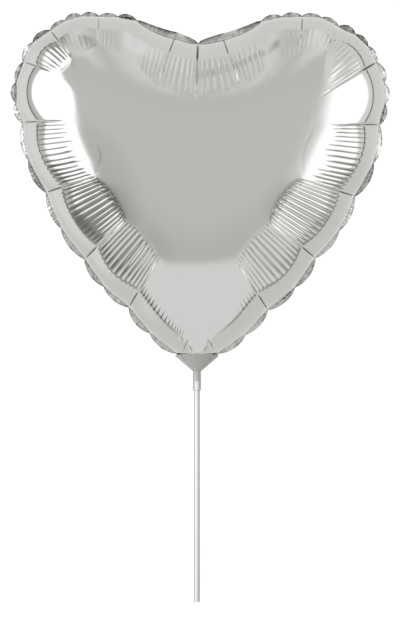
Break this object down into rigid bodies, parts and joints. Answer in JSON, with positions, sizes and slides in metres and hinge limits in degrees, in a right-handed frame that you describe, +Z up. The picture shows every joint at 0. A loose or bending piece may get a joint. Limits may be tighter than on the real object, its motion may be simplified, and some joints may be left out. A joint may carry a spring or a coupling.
{
  "type": "heart-shaped foil balloon on cup and stick",
  "caption": "Inflated silver foil balloon in the shape of a heart, its gathered rim sealed in a bumpy hem and its tip clipped into a slotted cup on a thin plastic stick.",
  "frame": {"origin": "centre of the lower end of the stick, where a hand or holder takes it", "axes": "+Z up along the stick towards the balloon, -Y out of the front of the heart, +X to the right as seen from the front"},
  "size_m": [0.3532, 0.1496, 0.5496],
  "materials": {
    "silver_foil": "mirror-bright metallised film",
    "sealed_foil": "crinkled metallised film",
    "frosted_plastic": "frosted and translucent",
    "white_plastic": "smooth, slightly glossy"
  },
  "bodies": {
    "stick": {"stick": "white_plastic"},
    "balloon": {"cup": "frosted_plastic", "foil_front": "silver_foil", "foil_back": "silver_foil", "seam_flange": "sealed_foil", "fill_tail": "silver_foil"}
  },
  "joints": [
    {"name": "cup_slide", "type": "slide", "parent": "stick", "child": "balloon", "axis": [0, 0, 1], "range_m": [0, 0.008]}
  ]
}
